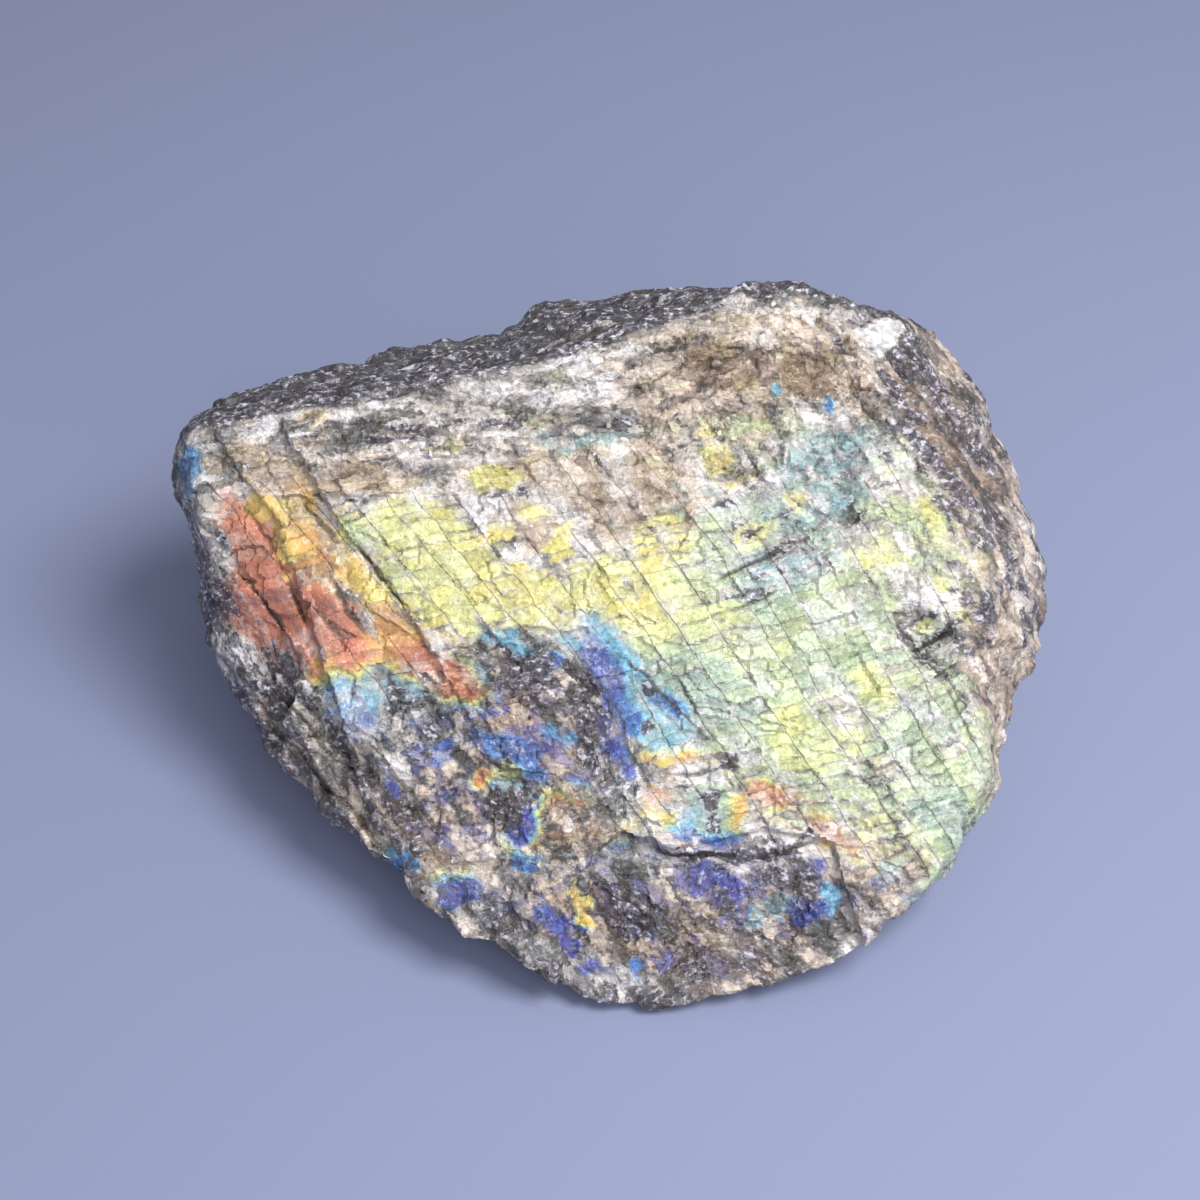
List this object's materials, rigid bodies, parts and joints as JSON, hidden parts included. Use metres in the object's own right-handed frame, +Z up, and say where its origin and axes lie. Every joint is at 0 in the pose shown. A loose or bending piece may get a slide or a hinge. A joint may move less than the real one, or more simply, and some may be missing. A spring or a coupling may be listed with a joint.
{
  "type": "rough labradorite chunk",
  "caption": "Rough chunk of labradorite with a sloping cleavage face, stepped edges, a dark crust along its back edge and a flat it rests on.",
  "frame": {"origin": "under the middle of the stone's bounding box, on the surface that it rests on", "axes": "+Z up; +X to the right of the bright cleavage face; -Y towards whoever looks at that face, which rises towards +Y"},
  "size_m": [0.1244, 0.097, 0.0575],
  "materials": {
    "labradorite": "rough, with glossy cleavage planes that flash blue, green, yellow and copper"
  },
  "bodies": {
    "root": {"labradorite_chunk": "labradorite"}
  },
  "joints": []
}
